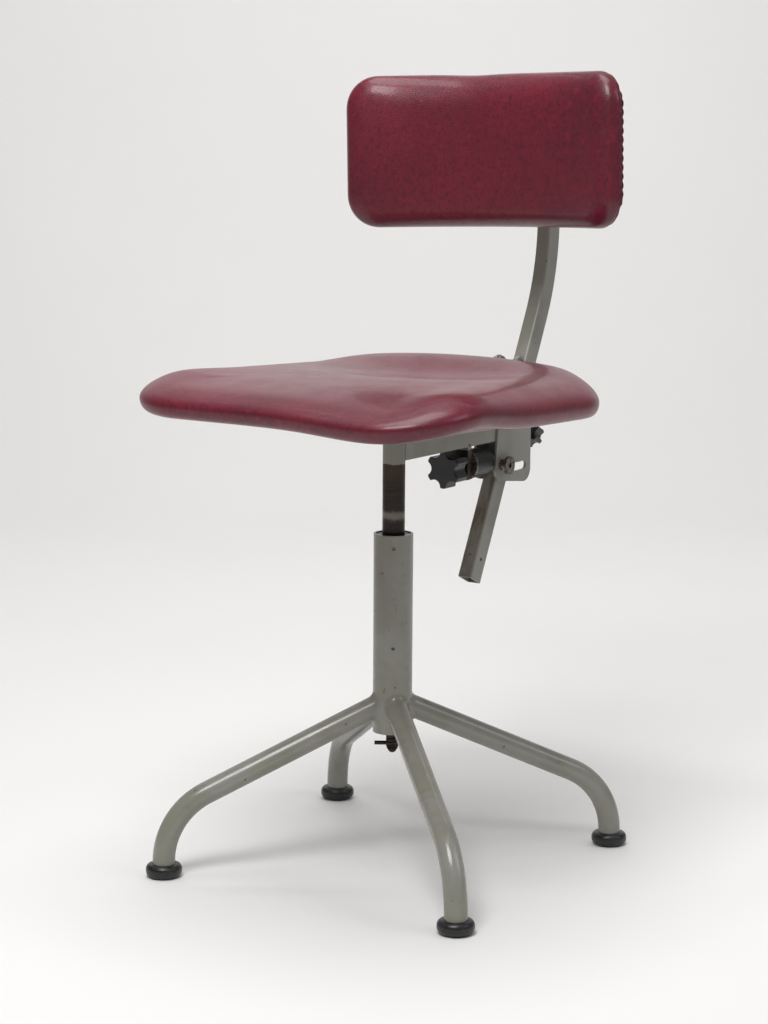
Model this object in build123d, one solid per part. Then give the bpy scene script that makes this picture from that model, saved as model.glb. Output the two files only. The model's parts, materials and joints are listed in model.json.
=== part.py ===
from build123d import *
import math
import os

os.makedirs("parts", exist_ok=True)

# A drafting chair on four bent tube legs: a screw-lift column, a padded seat and a
# padded back on a leaning bar that tilts and slides behind the seat.
# Millimetres and degrees. The origin is on the floor on the column's axis,
# +Z is up, the sitter faces -Y and the sitter's left hand is at +X.

# Fits and gaps
turn_gap = 0.06  # radial clearance of a turning fit
slide_gap = 0.3  # clearance on each side of a sliding piece
weld_gap = 0.05  # clearance of a welded or pressed joint
free_gap = 0.5  # gap between pieces that meet only at a stop

# Column, nut and guide bush
column_od = 44.0
column_wall = 2.5
column_foot_z = 150.0
column_length = 225.0
nut_length = 40.0
nut_recess = 3.0
bush_length = 134.0
bush_recess = 3.0
ring_thickness = 2.0
ring_side_gap = 0.8
bush_screw_d = 4.0
bush_screw_length = 5.0
bush_screw_inset = 11.0
bush_screw_sink = 1.2
bush_screw_angle = -56.0

# Legs and feet
leg_od = 25.0
leg_wall = 2.0
leg_root_z = 178.0
leg_knee_z = 70.0  # where the sloping run would meet the upright
leg_bend_radius = 82.0
leg_turn = 3.4
foot_circle_radius = 260.0
foot_od = 40.0
foot_height = 15.0
foot_floor = 5.0
foot_rim_radius = 6.0
foot_edge_radius = 7.0

# Spindle, its screw tail and the stop under the column
spindle_d = 25.0
thread_d = 14.0
lift_down = 68.0
tail_end_z = 131.0
tail_chamfer = 1.5
stop_pin_d = 4.5
stop_pin_rise = 5.0
stop_pin_reach = 20.0
stop_pin_angle = 213.5
tail_washer_d = 12.5
tail_washer_thickness = 1.0
tail_screw_head_d = 10.5
tail_screw_head_height = 5.0
tail_screw_d = 6.0
tail_screw_length = 16.0

# Seat arm and cheek plates
arm_width = 25.0
arm_height = 28.0
arm_wall = 2.5
arm_bottom_z = 456.5
arm_start_y = 4.0
arm_end_y = 211.0
cheek_thickness = 3.0
cheek_front_y = 189.0
cheek_neck_y = 197.0
cheek_rear_y = 270.0
cheek_front_bottom_z = 411.0
cheek_rear_bottom_z = 400.5
cheek_corner_radius = 15.0
cheek_ear_radius = 10.0

# Back tilt: the pivot bolt and the slotted lower bolt
pivot_y = 243.0
pivot_z = 542.0
pivot_bolt_d = 8.0
pivot_head_d = 12.0
pivot_head_height = 3.0
pivot_nut_across_flats = 13.0
pivot_nut_height = 5.0
slot_radius = 120.0
slot_rest_angle = 18.5  # lower bolt, forward of straight below the pivot
tilt_range = 24.0
slot_width = 10.0
slot_bolt_d = 8.0
slot_hub_d = 13.0
slot_hub_length = 7.0
slot_head_d = 21.0
slot_head_thickness = 4.0
slot_socket_d = 6.0
slot_socket_depth = 3.0

# Back bar
bar_width = 18.0
bar_depth = 25.0
bar_wall = 2.0
bar_corner_radius = 2.5
bar_lean = 26.0
bar_ref_z = 542.0
bar_ref_y = 279.5
bar_below_ref = 272.8
bar_above_ref = 55.6
bar_bend_radius = 270.0
bar_upright = 105.0
bar_hole_d = 4.0
bar_hole_rise = 26.0

# Bar guide and its height clamp
guide_wall = 2.0
guide_bottom = 142.0
guide_top = 10.0
guide_ear_radius = 9.0
guide_ear_root = 45.0
guide_foot_radius = 8.0
guide_foot_root = 26.0
boss_d = 18.0
boss_length = 12.0
boss_drop = 72.5
clamp_stud_d = 8.0
clamp_slug_length = 4.0
clamp_slug_gap = 0.1
height_knob_d = 29.0
height_knob_thickness = 16.0
height_knob_reach = 41.0
height_knob_hub_d = 14.0
height_knob_hub_length = 5.0

# Tilt stop: lug, screw, knob and rubber buffer under the arm
stop_axis_drop = 23.0  # from the arm down to the tilt screw's axis
lug_front_y = 134.0
lug_thickness = 8.0
lug_drop = 14.0
tilt_screw_d = 10.0
tilt_screw_tip_d = 6.0
tilt_screw_tip_length = 12.0
tilt_knob_d = 44.0
tilt_knob_thickness = 22.0
tilt_knob_rear_y = 126.0
tilt_knob_hub_d = 20.0
tilt_knob_hub_length = 4.0
knob_lobes = 6
knob_scallop_share = 0.72  # scallop radius against half the pitch of the lobes
knob_scallop_out = 0.2  # scallop centre outside the lobes' circle, in scallop radii
knob_lobe_share = 0.1  # rounding of the lobes' corners against the knob's radius
knob_edge_radius = 1.2
washer_d = 36.0
washer_thickness = 3.0
washer_front_y = 146.0
buffer_d = 34.0
buffer_edge_radius = 3.0
buffer_nose_d = 20.0

# Seat
seat_front_width = 419.0
seat_rear_width = 394.0
seat_depth = 413.0  # from the front edge to the rear corners
seat_rear_gap = 28.0  # from the rear corners to the necks of the cheeks
seat_front_corner = 88.0
seat_rear_corner = 92.0
seat_rear_bow = 26.0  # how far the rear edge would run out to a point in the middle
seat_bow_share = 0.45  # share of each half of the rear edge that rounds the point off
seat_foot_z = 511.0  # underside of the board and pad at mid depth
seat_fall = 1.8  # slope of the underside, down to the rear
seat_plate_thickness = 4.0
seat_plate_width = 120.0
seat_plate_depth = 160.0
seat_plate_rear_y = 100.0
seat_plate_corner = 18.0
seat_board_thickness = 12.0
seat_board_inset = 45.0
seat_least_corner = 12.0
seat_pad_height = 48.0  # at mid depth, before the dish
seat_front_height = 26.6  # where the pad's top would run out over its front edge
seat_rear_height = 46.5  # where it would run out over its rear edge
seat_edge_top_share = 0.83  # rounding of the pad's top edge against its front height
seat_edge_foot_share = 0.38  # rounding of its lower edge against the same height
seat_dish_radius = 1400.0
seat_dish_depth = 9.0
seat_dish_rearward = 40.0
seat_screw_d = 5.0
seat_screw_head_d = 9.5
seat_screw_head_height = 3.0
seat_screw_bite = 9.0
seat_screw_inset = 22.0

# Back rest
back_width = 362.0
back_height = 172.0
back_bottom_z = 703.0
back_face_radius = 300.0
back_face_y = 191.0
back_pad_thickness = 38.0
back_pad_end_thickness = 15.0
back_pad_crown = 7.0
back_edge_rear = 8.0
back_edge_front = 16.0
back_even_sections = 4
back_end_angles = (40, 66, 90)
back_corner_radius = 28.0
back_board_thickness = 10.0
back_board_inset = 20.0
bracket_width = 60.0
bracket_height = 84.0
bracket_wall = 3.0
bracket_rise = 44.0
bracket_bolt_d = 6.0
bracket_bolt_inset = 20.0
bracket_head_across_flats = 10.0
bracket_head_height = 4.0
back_screw_d = 5.0
back_screw_head_d = 9.0
back_screw_head_height = 2.5
back_screw_bite = 7.0
back_screw_inset = 9.0

# Heights and places that follow from the sizes above
column_top_z = column_foot_z + column_length
column_bore = column_od / 2 - column_wall
nut_top_z = column_foot_z + nut_recess + nut_length
bush_top_z = column_top_z - bush_recess
bush_foot_z = bush_top_z - bush_length
thread_top_z = nut_top_z + lift_down + free_gap
arm_top_z = arm_bottom_z + arm_height
stop_axis_z = arm_bottom_z - stop_axis_drop
plate_top_z = arm_top_z + seat_plate_thickness
seat_middle_y = cheek_neck_y - seat_rear_gap - seat_depth / 2
cheek_inner_x = arm_width / 2 + weld_gap
cheek_outer_x = cheek_inner_x + cheek_thickness
guide_inner_x = bar_width / 2 + slide_gap
guide_inner_y = bar_depth / 2 + slide_gap
guide_outer_x = guide_inner_x + guide_wall
guide_outer_y = guide_inner_y + guide_wall
slot_bolt_y = pivot_y - slot_radius * math.sin(math.radians(slot_rest_angle))
slot_bolt_z = pivot_z - slot_radius * math.cos(math.radians(slot_rest_angle))
back_curve_y = back_face_y - back_face_radius
back_rear_radius = back_face_radius + back_pad_thickness
board_rear_radius = back_rear_radius + back_board_thickness
back_middle_z = back_bottom_z + back_height / 2

# The seat's own frame: local Z square to the sloping underside, X and Y in it
fall = math.radians(seat_fall)
seat_frame = Plane(
    origin=(0, seat_middle_y, seat_foot_z),
    x_dir=(1, 0, 0),
    z_dir=(0, math.sin(fall), math.cos(fall)),
)

# The bar's own frame: local Z runs up the bar, local Y to the rear, X as in the chair
lean = math.radians(bar_lean)
bar_frame = Plane(
    origin=(0, bar_ref_y, bar_ref_z),
    x_dir=(1, 0, 0),
    z_dir=(0, math.sin(lean), math.cos(lean)),
)


def in_bar_frame(y, z):
    """Local (y, z) of a chair point in the bar's frame."""
    local = bar_frame.to_local_coords(Vector(0, y, z))
    return local.Y, local.Z


def rod(diameter, start, end):
    """A round bar between two points."""
    run = Vector(*end) - Vector(*start)
    return extrude(Plane(origin=tuple(start), z_dir=run) * Circle(diameter / 2), run.length)


def cross_rod(diameter, y, z, from_x, to_x):
    """A round bar along X at a place in the side view."""
    return rod(diameter, (from_x, y, z), (to_x, y, z))


def hexagon_along_x(across_flats, y, z, from_x, to_x):
    """A hexagon bar along X, as a bolt head or a nut."""
    outline = RegularPolygon(across_flats / 2, 6, major_radius=False)
    face = Plane(origin=(from_x, y, z), z_dir=(to_x - from_x, 0, 0)) * outline
    return extrude(face, abs(to_x - from_x))


def side_plate(outline, from_x, to_x):
    """A side-view outline, drawn as (y, z), given thickness along X."""
    return Pos(from_x, 0, 0) * extrude(Plane.YZ * outline, to_x - from_x)


def ear_outline(centre, radius, root):
    """A round ear and the straight root line that carries it."""
    circle = Pos(*centre) * Circle(radius)
    return make_hull(circle.edges() + Line(*root).edges())


def write(node, piece):
    """One node's solids in one file."""
    export_step(piece, f"parts/{node}.step")


# Column tube, with tapped holes for the two screws that hold the guide bush
def bush_rods(diameter, outer_radius, inner_radius):
    """Two radial round bars, one above the other, where the bush screws sit."""
    turn = math.radians(bush_screw_angle)
    way = Vector(math.cos(turn), math.sin(turn), 0)
    rods = []
    for z in (bush_foot_z + bush_screw_inset, bush_top_z - bush_screw_inset):
        level = Vector(0, 0, z)
        rods.append(rod(diameter, level + way * outer_radius, level + way * inner_radius))
    return rods


screw_outer = column_od / 2 - bush_screw_sink
screw_inner = screw_outer - bush_screw_length
column = Cylinder(column_od / 2, column_length, align=(Align.CENTER, Align.CENTER, Align.MIN))
column -= Cylinder(column_bore, column_length, align=(Align.CENTER, Align.CENTER, Align.MIN))
column = Pos(0, 0, column_foot_z) * column
bush = rod(2 * (column_bore - weld_gap), (0, 0, bush_foot_z), (0, 0, bush_top_z))
bush -= rod(spindle_d + 2 * turn_gap, (0, 0, bush_foot_z), (0, 0, bush_top_z))
for hole in bush_rods(bush_screw_d + 2 * weld_gap, column_od / 2, screw_inner - weld_gap):
    column -= hole
    bush -= hole
write("column_tube", column)
write("guide_bush", bush)
write("bush_screws", Compound(bush_rods(bush_screw_d, screw_outer, screw_inner)))

# Lift nut in the column's foot; its thread is drawn as a plain bore
nut_foot_z = column_foot_z + nut_recess
nut = rod(2 * (column_bore - weld_gap), (0, 0, nut_foot_z), (0, 0, nut_top_z))
nut -= rod(thread_d + 2 * turn_gap, (0, 0, nut_foot_z), (0, 0, nut_top_z))
write("lift_nut", nut)

# Dust ring that turns with the spindle in the column's mouth
ring_od = 2 * (column_bore - ring_side_gap)
ring = rod(ring_od, (0, 0, bush_top_z), (0, 0, bush_top_z + ring_thickness))
ring -= rod(spindle_d + 2 * turn_gap, (0, 0, bush_top_z), (0, 0, bush_top_z + ring_thickness))
write("dust_ring", ring)

# Legs: a sloping run, one bend and a short upright in the foot
leg_sides = ("front_left", "rear_left", "rear_right", "front_right")
leg_fall = (leg_root_z - leg_knee_z) / (foot_circle_radius - column_od / 2)
leg_axis_z = leg_root_z + leg_fall * column_od / 2
leg_path = FilletPolyline(
    (0, 0, leg_axis_z),
    (foot_circle_radius, 0, leg_knee_z),
    (foot_circle_radius, 0, foot_floor),
    radius=leg_bend_radius,
)
leg_section = Circle(leg_od / 2) - Circle(leg_od / 2 - leg_wall)
leg = sweep(Plane(leg_path ^ 0) * leg_section, path=leg_path)
leg -= rod(column_od + 2 * weld_gap, (0, 0, 0), (0, 0, column_top_z))

# Feet: rubber cups with a rounded wall, flat on the floor
foot = rod(foot_od, (0, 0, 0), (0, 0, foot_height))
foot = fillet(foot.edges().group_by(Axis.Z)[-1], foot_rim_radius)
foot = fillet(foot.edges().group_by(Axis.Z)[0], foot_edge_radius)
foot -= rod(leg_od + 2 * weld_gap, (0, 0, foot_floor), (0, 0, foot_height))
foot = Pos(foot_circle_radius, 0, 0) * foot

leg_spacing = 360 / len(leg_sides)
for i, side in enumerate(leg_sides):
    turn = Rot(0, 0, leg_turn + (i - 0.5) * leg_spacing)
    write(f"leg_{side}", turn * leg)
    write(f"foot_{side}", turn * foot)

# Spindle: the smooth guided bar, the screw tail and a side hole for the stop pin
stop_pin_z = tail_end_z + stop_pin_rise
pin_turn = math.radians(stop_pin_angle)
pin_way = Vector(math.cos(pin_turn), math.sin(pin_turn), 0)
pin_start = Vector(0, 0, stop_pin_z) + pin_way * (tail_screw_d / 2 + free_gap)
pin_end = Vector(0, 0, stop_pin_z) + pin_way * stop_pin_reach
tail_screw_top = tail_end_z + tail_screw_length
spindle = rod(spindle_d, (0, 0, thread_top_z), (0, 0, arm_top_z))
tail = rod(thread_d, (0, 0, tail_end_z), (0, 0, thread_top_z))
spindle += chamfer(tail.edges().group_by(Axis.Z)[0], tail_chamfer)
spindle -= rod(stop_pin_d + 2 * weld_gap, pin_start, pin_end)
spindle -= rod(tail_screw_d + 2 * weld_gap, (0, 0, tail_end_z), (0, 0, tail_screw_top))
write("spindle", spindle)
write("stop_pin", rod(stop_pin_d, pin_start, pin_end))

# Round-headed screw and washer that close the tail
washer_foot_z = tail_end_z - tail_washer_thickness
tail_washer = rod(tail_washer_d, (0, 0, washer_foot_z), (0, 0, tail_end_z))
tail_washer -= rod(tail_screw_d + 2 * weld_gap, (0, 0, washer_foot_z), (0, 0, tail_end_z))
head_reach = tail_screw_head_d / 2
head_radius = (head_reach**2 + tail_screw_head_height**2) / (2 * tail_screw_head_height)
head = Pos(0, 0, washer_foot_z - tail_screw_head_height + head_radius) * Sphere(head_radius)
head -= Pos(0, 0, washer_foot_z + head_radius) * Box(4 * head_radius, 4 * head_radius, 2 * head_radius)
tail_screw = head + rod(tail_screw_d, (0, 0, washer_foot_z), (0, 0, tail_screw_top - free_gap))
write("tail_washer", tail_washer)
write("tail_screw", tail_screw)

# Seat arm: a rectangular tube coped to the spindle and running back to the cheeks
arm_length = arm_end_y - arm_start_y
arm_section = Rectangle(arm_width, arm_height)
arm_section -= Rectangle(arm_width - 2 * arm_wall, arm_height - 2 * arm_wall)
arm_middle_z = arm_bottom_z + arm_height / 2
arm_face = Plane(origin=(0, arm_start_y, arm_middle_z), x_dir=(1, 0, 0), z_dir=(0, 1, 0))
arm = extrude(arm_face * arm_section, arm_length)
arm -= rod(spindle_d + 2 * weld_gap, (0, 0, arm_bottom_z), (0, 0, arm_top_z))
write("seat_arm", arm)

# Cheek plates: welded to the arm's sides, with the curved slot about the pivot
cheek_edge = [
    (cheek_neck_y, arm_top_z),
    (cheek_front_y, cheek_front_bottom_z),
    (cheek_rear_y, cheek_rear_bottom_z),
    (cheek_rear_y, arm_top_z),
]
cheek_lower = make_face(Polyline(*cheek_edge, close=True))
low_corners = cheek_lower.vertices().sort_by(Axis.Y)[:2]
cheek_lower = fillet(low_corners, cheek_corner_radius)
shoulder = [(cheek_neck_y, arm_top_z), (cheek_rear_y, arm_top_z)]
cheek_outline = cheek_lower + ear_outline((pivot_y, pivot_z), cheek_ear_radius, shoulder)
slot_start = 270 - slot_rest_angle
slot_line = CenterArc((pivot_y, pivot_z), slot_radius, slot_start, tilt_range)
cheek_outline -= SlotArc(slot_line, slot_width)
cheek_outline -= Pos(pivot_y, pivot_z) * Circle(pivot_bolt_d / 2 + weld_gap)
cheek = side_plate(cheek_outline, cheek_inner_x, cheek_outer_x)
write("cheek_left", cheek)
write("cheek_right", mirror(cheek, Plane.YZ))

# Pivot bolt and nut through the cheeks
bolt_tip_x = -(cheek_outer_x + pivot_nut_height)
pivot_bolt = cross_rod(pivot_bolt_d, pivot_y, pivot_z, bolt_tip_x, cheek_outer_x)
head_end_x = cheek_outer_x + pivot_head_height
pivot_bolt += cross_rod(pivot_head_d, pivot_y, pivot_z, cheek_outer_x, head_end_x)
pivot_nut = hexagon_along_x(pivot_nut_across_flats, pivot_y, pivot_z, -cheek_outer_x, bolt_tip_x)
pivot_nut -= cross_rod(pivot_bolt_d + 2 * weld_gap, pivot_y, pivot_z, bolt_tip_x, 0)
write("pivot_bolt", pivot_bolt)
write("pivot_nut", pivot_nut)

# Lug under the arm, bored for the tilt screw
lug_bottom_z = stop_axis_z - lug_drop
lug_rear_y = lug_front_y + lug_thickness
lug = Pos(0, lug_front_y, lug_bottom_z) * Box(
    arm_width,
    lug_thickness,
    arm_bottom_z - lug_bottom_z,
    align=(Align.CENTER, Align.MIN, Align.MIN),
)
lug -= rod(tilt_screw_d + 2 * turn_gap, (0, lug_front_y, stop_axis_z), (0, lug_rear_y, stop_axis_z))
write("screw_lug", lug)


# Star knobs, drawn on the XY plane with the hub side at the origin and the face at +Z
def star_knob(diameter, thickness, hub_d, hub_length, bore_d):
    """A lobed knob with a round hub, bored for its screw."""
    radius = diameter / 2
    scallop = radius * math.sin(math.pi / knob_lobes) * knob_scallop_share
    reach = radius + scallop * knob_scallop_out
    star = Circle(radius)
    for k in range(knob_lobes):
        star -= Rot(0, 0, k * 360 / knob_lobes) * Pos(reach, 0) * Circle(scallop)
    star = fillet(star.vertices(), radius * knob_lobe_share)
    body = extrude(star, thickness)
    body = fillet(body.faces().sort_by(Axis.Z)[-1].edges(), knob_edge_radius)
    body = Pos(0, 0, hub_length) * body + rod(hub_d, (0, 0, 0), (0, 0, hub_length))
    return body - rod(bore_d, (0, 0, 0), (0, 0, hub_length + thickness / 2))


# Tilt knob and its screw; the thread is drawn as a plain rod
stop_face = Plane(
    origin=(0, tilt_knob_rear_y, stop_axis_z), x_dir=(1, 0, 0), z_dir=(0, -1, 0)
)
tilt_bore_d = tilt_screw_d + 2 * weld_gap
tilt_knob = star_knob(
    tilt_knob_d, tilt_knob_thickness, tilt_knob_hub_d, tilt_knob_hub_length, tilt_bore_d
)
screw_front_y = tilt_knob_rear_y - tilt_knob_hub_length - tilt_knob_thickness / 2
tip_end_y = washer_front_y + tilt_screw_tip_length
tilt_screw = rod(tilt_screw_d, (0, screw_front_y, stop_axis_z), (0, washer_front_y, stop_axis_z))
tilt_screw += rod(tilt_screw_tip_d, (0, washer_front_y, stop_axis_z), (0, tip_end_y, stop_axis_z))
write("tilt_knob", stop_face.location * tilt_knob)
write("tilt_screw", tilt_screw)

# Buffer washer and rubber buffer; the nose meets the guide's foot between the cheeks
buffer_front_y = washer_front_y + washer_thickness
buffer_shoulder_y = cheek_front_y - 2 * free_gap
nose_end_y = slot_bolt_y - guide_foot_radius - free_gap
buffer_washer = rod(washer_d, (0, washer_front_y, stop_axis_z), (0, buffer_front_y, stop_axis_z))
buffer = rod(buffer_d, (0, buffer_front_y, stop_axis_z), (0, buffer_shoulder_y, stop_axis_z))
buffer = fillet(buffer.edges().group_by(Axis.Y)[-1], buffer_edge_radius)
buffer += rod(buffer_nose_d, (0, buffer_shoulder_y, stop_axis_z), (0, nose_end_y, stop_axis_z))
tip_room_y = tip_end_y + free_gap
tip_bore = rod(
    tilt_screw_tip_d + 2 * turn_gap,
    (0, washer_front_y, stop_axis_z),
    (0, tip_room_y, stop_axis_z),
)
write("buffer_washer", buffer_washer - tip_bore)
write("tilt_buffer", buffer - tip_bore)

# Bar guide: a folded sleeve round the bar with ears to the pivot and the lower bolt
guide_length = guide_bottom - guide_top
guide_middle = -(guide_bottom + guide_top) / 2
pivot_local = in_bar_frame(pivot_y, pivot_z)
bolt_local = in_bar_frame(slot_bolt_y, slot_bolt_z)
guide = Pos(0, 0, guide_middle) * Box(2 * guide_outer_x, 2 * guide_outer_y, guide_length)
ear_root = [(-guide_inner_y, -guide_top), (-guide_inner_y, -guide_ear_root)]
foot_root = [(-guide_inner_y, -guide_bottom), (-guide_inner_y, guide_foot_root - guide_bottom)]
upper_ear = ear_outline(pivot_local, guide_ear_radius, ear_root)
lower_ear = ear_outline(bolt_local, guide_foot_radius, foot_root)
for ear in (upper_ear, lower_ear):
    guide += side_plate(ear, guide_inner_x, guide_outer_x)
    guide += side_plate(ear, -guide_outer_x, -guide_inner_x)
guide -= Pos(0, 0, guide_middle) * Box(2 * guide_inner_x, 2 * guide_inner_y, guide_length)
guide -= cross_rod(pivot_bolt_d + 2 * turn_gap, *pivot_local, -guide_outer_x, guide_outer_x)
guide -= cross_rod(slot_bolt_d + 2 * weld_gap, *bolt_local, -guide_outer_x, guide_outer_x)
boss_end = guide_outer_y + boss_length
clamp_bore = rod(clamp_stud_d + 2 * turn_gap, (0, 0, -boss_drop), (0, boss_end, -boss_drop))
guide -= clamp_bore
boss = rod(boss_d, (0, guide_outer_y, -boss_drop), (0, boss_end, -boss_drop)) - clamp_bore
write("bar_guide", bar_frame.location * guide)
write("clamp_boss", bar_frame.location * boss)

# Lower bolt: its round heads run outside the slotted cheeks
head_gap_x = cheek_outer_x + slide_gap
hub_end_x = head_gap_x + slot_hub_length
disc_end_x = hub_end_x + slot_head_thickness
socket_floor_x = disc_end_x - slot_socket_depth
slot_bolt = cross_rod(slot_bolt_d, slot_bolt_y, slot_bolt_z, -disc_end_x, head_gap_x)
slot_bolt += cross_rod(slot_hub_d, slot_bolt_y, slot_bolt_z, head_gap_x, hub_end_x)
slot_bolt += cross_rod(slot_head_d, slot_bolt_y, slot_bolt_z, hub_end_x, disc_end_x)
slot_bolt -= cross_rod(slot_socket_d, slot_bolt_y, slot_bolt_z, socket_floor_x, disc_end_x)
slot_nut = cross_rod(slot_hub_d, slot_bolt_y, slot_bolt_z, -head_gap_x, -hub_end_x)
slot_nut += cross_rod(slot_head_d, slot_bolt_y, slot_bolt_z, -hub_end_x, -disc_end_x)
slot_nut -= cross_rod(slot_bolt_d + 2 * weld_gap, slot_bolt_y, slot_bolt_z, -disc_end_x, 0)
write("slot_bolt", slot_bolt)
write("slot_nut", slot_nut)

# Height clamp: a brass slug against the bar, pushed by the knob's stud
slug_start = bar_depth / 2 + clamp_slug_gap
slug_end = slug_start + clamp_slug_length
knob_face = Plane(origin=(0, height_knob_reach, -boss_drop), x_dir=(1, 0, 0), z_dir=(0, 1, 0))
stud_end = height_knob_reach + height_knob_hub_length + height_knob_thickness / 2
slug = rod(clamp_stud_d, (0, slug_start, -boss_drop), (0, slug_end, -boss_drop))
stud = rod(clamp_stud_d, (0, slug_end, -boss_drop), (0, stud_end, -boss_drop))
height_bore_d = clamp_stud_d + 2 * weld_gap
height_knob = star_knob(
    height_knob_d,
    height_knob_thickness,
    height_knob_hub_d,
    height_knob_hub_length,
    height_bore_d,
)
write("clamp_slug", bar_frame.location * slug)
write("height_stud", bar_frame.location * stud)
write("height_knob", bar_frame.location * knob_face.location * height_knob)

# Back bar: a rectangular tube, straight through the guide and bent upright above it
bend_centre = Vector(0, -bar_bend_radius, bar_above_ref)
bend_end_angle = math.radians(bar_lean)
bend_mid_angle = bend_end_angle / 2
bend_points = [
    bend_centre + Vector(0, math.cos(a), math.sin(a)) * bar_bend_radius
    for a in (0, bend_mid_angle, bend_end_angle)
]
upright_way = Vector(0, -math.sin(bend_end_angle), math.cos(bend_end_angle))
bar_path = Wire(
    [
        Edge.make_line((0, 0, -bar_below_ref), bend_points[0]),
        Edge.make_three_point_arc(*bend_points),
        Edge.make_line(bend_points[2], bend_points[2] + upright_way * bar_upright),
    ]
)
bar_section = RectangleRounded(bar_width, bar_depth, bar_corner_radius)
bar_section -= Rectangle(bar_width - 2 * bar_wall, bar_depth - 2 * bar_wall)
bar_start = Plane(origin=(0, 0, -bar_below_ref), x_dir=(1, 0, 0), z_dir=(0, 0, 1))
bar = sweep(bar_start * bar_section, path=bar_path)
hole_z = bar_hole_rise - bar_below_ref
bar -= cross_rod(bar_hole_d, 0, hole_z, -bar_width, bar_width)

# Bracket places, on the upright part of the bar
upright_foot = bar_frame.from_local_coords(bend_points[2])
upright_y = upright_foot.Y
upright_top_z = upright_foot.Z + bar_upright
bracket_foot_z = back_bottom_z + bracket_rise
bracket_top_z = bracket_foot_z + bracket_height
bolt_heights = (bracket_foot_z + bracket_bolt_inset, bracket_top_z - bracket_bolt_inset)
bar = bar_frame.location * bar
for z in bolt_heights:
    bar -= cross_rod(bracket_bolt_d + 2 * weld_gap, upright_y, z, -bar_width, bar_width)
write("back_bar", bar)


# Seat outline: wider in front, bowed behind, with round corners, drawn in by an inset
def seat_outline(inset):
    """The seat's plan as a closed line, drawn in all round by the inset."""
    front = inset - seat_depth / 2
    rear = seat_depth / 2 - inset
    front_x = seat_front_width / 2 - inset
    rear_x = seat_rear_width / 2 - inset
    front_r = max(seat_front_corner - inset, seat_least_corner)
    rear_r = max(seat_rear_corner - inset, seat_least_corner)
    bow_r = seat_bow_share * rear_x**2 / seat_rear_bow
    return FilletPolyline(
        (front_x, front),
        (rear_x, rear),
        (0, rear + seat_rear_bow),
        (-rear_x, rear),
        (-front_x, front),
        radius=[front_r, rear_r, bow_r, rear_r, front_r],
        close=True,
    )


# Seat plate on the arm, a wedge block on it and the board on the block's slope
plate_middle_y = seat_plate_rear_y - seat_plate_depth / 2
plate_outline = RectangleRounded(seat_plate_width, seat_plate_depth, seat_plate_corner)
plate = Pos(0, plate_middle_y, arm_top_z) * extrude(plate_outline, seat_plate_thickness)
block = Pos(0, plate_middle_y, plate_top_z) * extrude(plate_outline, seat_foot_z - arm_top_z)
over_slope = Box(
    2 * seat_plate_width,
    2 * seat_depth,
    2 * seat_pad_height,
    align=(Align.CENTER, Align.CENTER, Align.MIN),
)
block -= seat_frame.location * over_slope
board = extrude(make_face(seat_outline(seat_board_inset)), seat_board_thickness)
board = seat_frame.location * board

# Screws from below through plate and block into the board
seat_screw_places = GridLocations(
    seat_plate_width - 2 * seat_screw_inset, seat_plate_depth - 2 * seat_screw_inset, 2, 2
)
seat_screws = []
for place in seat_screw_places:
    x = place.position.X
    y = place.position.Y + plate_middle_y
    tip_z = seat_foot_z - (y - seat_middle_y) * math.tan(fall) + seat_screw_bite
    hole = rod(seat_screw_d + 2 * weld_gap, (x, y, arm_top_z), (x, y, tip_z + weld_gap))
    plate -= hole
    block -= hole
    board -= hole
    screw = rod(seat_screw_d, (x, y, arm_top_z), (x, y, tip_z))
    screw += rod(seat_screw_head_d, (x, y, arm_top_z - seat_screw_head_height), (x, y, arm_top_z))
    seat_screws.append(screw)
write("seat_plate", plate)
write("seat_block", block)
write("seat_board", board)
write("seat_screws", Compound(seat_screws))

# Seat pad: a crowned top with a broad round edge, drawn in at the foot, dished at the rear
# and hollowed below to take the board
pad_front = -seat_depth / 2
pad_rear = seat_depth / 2 + seat_rear_bow
front_drop = seat_pad_height - seat_front_height
rear_drop = seat_pad_height - seat_rear_height
# The top is part of a ball through its front, middle and rear. With the ball's centre at
# (crown_y, crown_z) and the middle on it, each end gives one straight equation for the two.
front_side = (pad_front**2 + seat_front_height**2 - seat_pad_height**2) / 2
rear_side = (pad_rear**2 + seat_rear_height**2 - seat_pad_height**2) / 2
crown_y = (front_side * rear_drop - rear_side * front_drop) / (
    pad_front * rear_drop - pad_rear * front_drop
)
crown_z = (pad_front * crown_y - front_side) / front_drop
pad = extrude(make_face(seat_outline(0)), 2 * seat_pad_height)
pad &= Pos(0, crown_y, crown_z) * Sphere(math.hypot(crown_y, seat_pad_height - crown_z))
pad = seat_frame.location * pad
pad_top = pad.faces().sort_by(Axis.Z)[-1]
pad = fillet(pad_top.edges(), seat_front_height * seat_edge_top_share)
pad_foot = pad.faces().sort_by(Axis.Z)[0]
pad = fillet(pad_foot.edges(), seat_front_height * seat_edge_foot_share)
dish_z = seat_foot_z + seat_pad_height - seat_dish_depth + seat_dish_radius
pad -= Pos(0, seat_middle_y + seat_dish_rearward, dish_z) * Sphere(seat_dish_radius)
board_room = make_face(seat_outline(seat_board_inset - slide_gap))
pad -= seat_frame.location * extrude(board_room, seat_board_thickness + slide_gap)
write("seat_pad", pad)

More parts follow.
